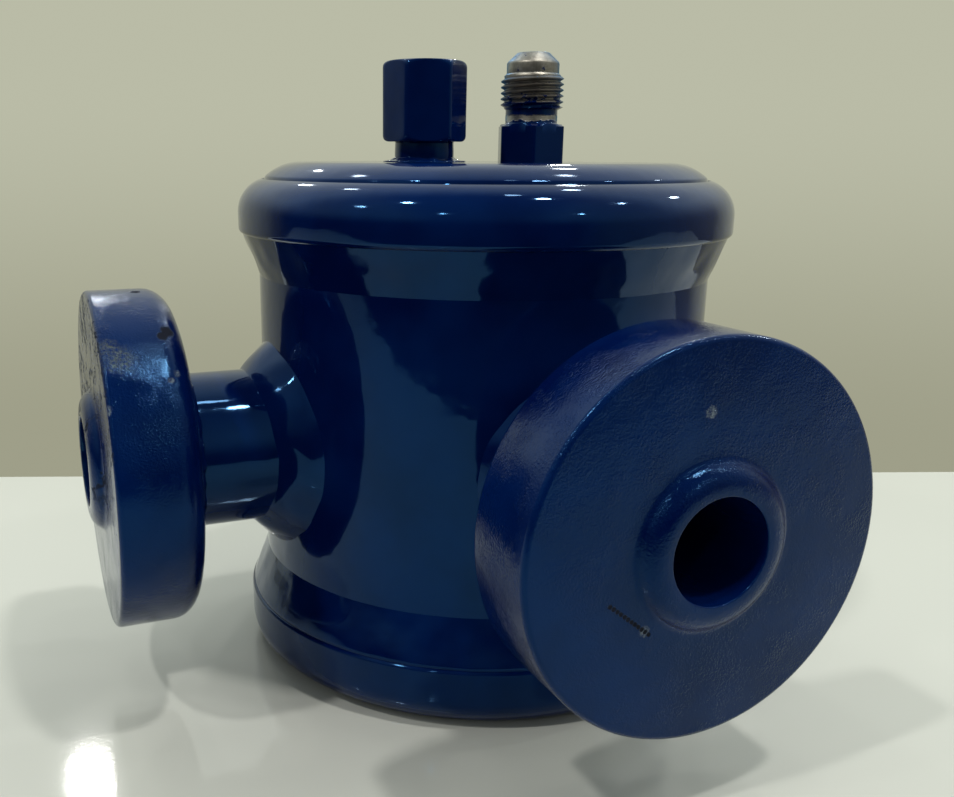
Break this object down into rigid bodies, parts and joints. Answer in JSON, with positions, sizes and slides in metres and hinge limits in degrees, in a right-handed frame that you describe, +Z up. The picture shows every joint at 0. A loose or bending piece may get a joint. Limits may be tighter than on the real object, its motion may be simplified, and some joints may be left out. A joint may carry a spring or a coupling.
{
  "type": "oil level regulator",
  "caption": "Float-operated oil level regulator with a welded round body, a crankcase flange, a sight glass flange, a flare inlet and a stem under a hexagonal seal cap.",
  "frame": {"origin": "centre of the flat base face", "axes": "+Z up along the body's axis, -Y out of the crankcase flange, -X out of the sight glass flange"},
  "size_m": [0.1645, 0.1623, 0.1517],
  "materials": {
    "blue_enamel": "thick glossy navy enamel",
    "bare_steel": "turned, unpainted above the hexagon",
    "inner_steel": "oiled",
    "stainless": "bright",
    "brass": "turned",
    "black_rubber": "matte",
    "white_polymer": "matte"
  },
  "bodies": {
    "regulator_body": {"body_tube": "blue_enamel", "bottom_cap": "blue_enamel", "bottom_weld": "blue_enamel", "head_ring": "blue_enamel", "head_plate": "blue_enamel", "head_weld": "blue_enamel", "crankcase_neck": "blue_enamel", "crankcase_neck_weld": "blue_enamel", "crankcase_flange": "blue_enamel", "crankcase_flange_weld": "blue_enamel", "sight_neck": "blue_enamel", "sight_neck_weld": "blue_enamel", "sight_flange": "blue_enamel", "sight_flange_weld": "blue_enamel", "inlet_fitting": "bare_steel", "inlet_strainer": "stainless", "valve_body": "brass", "valve_seat": "stainless", "stem_boss": "blue_enamel", "stem_boss_weld": "blue_enamel", "guide_posts": "inner_steel", "post_nuts": "inner_steel", "pivot_bracket": "inner_steel", "pivot_pin": "stainless"},
    "gasket": {"cap_gasket": "white_polymer"},
    "cap": {"seal_cap": "blue_enamel"},
    "stem": {"adjusting_stem": "stainless", "stem_o_ring": "black_rubber"},
    "spring_carrier": {"spring_nut": "brass", "level_spring": "stainless"},
    "float_lever": {"float_arm": "stainless", "float_upper_half": "stainless", "float_lower_half": "stainless", "float_stud": "stainless", "float_nut": "stainless"},
    "needle": {"valve_needle": "stainless"}
  },
  "joints": [
    {"name": "seal_cap_lift", "type": "slide", "parent": "regulator_body", "child": "gasket", "axis": [0, 0, 1], "range_m": [0, 0.01016]},
    {"name": "seal_cap_turn", "type": "hinge", "parent": "gasket", "child": "cap", "pos_m": [-0.0162, 0, 0.1393], "axis": [0, 0, 1], "range_deg": [0, 2880]},
    {"name": "stem_turn", "type": "hinge", "parent": "regulator_body", "child": "stem", "pos_m": [-0.0162, 0, 0.1047], "axis": [0, 0, 1], "range_deg": [0, 1440]},
    {"name": "spring_nut_travel", "type": "slide", "parent": "regulator_body", "child": "spring_carrier", "axis": [0, 0, 1], "range_m": [-0.004, 0], "deforming": ["level_spring"]},
    {"name": "float_swing", "type": "hinge", "parent": "regulator_body", "child": "float_lever", "pos_m": [0.004, 0, 0.0747], "axis": [0, -1, 0], "range_deg": [0, 12]},
    {"name": "needle_lift", "type": "slide", "parent": "regulator_body", "child": "needle", "axis": [0, 0, 1], "range_m": [0, 0.00202]}
  ],
  "couplings": [
    {"joint": "seal_cap_lift", "follows": "seal_cap_turn", "m_per_rad": 0.00020213},
    {"joint": "spring_nut_travel", "follows": "stem_turn", "m_per_rad": -0.00015915},
    {"joint": "needle_lift", "follows": "float_swing", "m_per_rad": 0.0096}
  ]
}
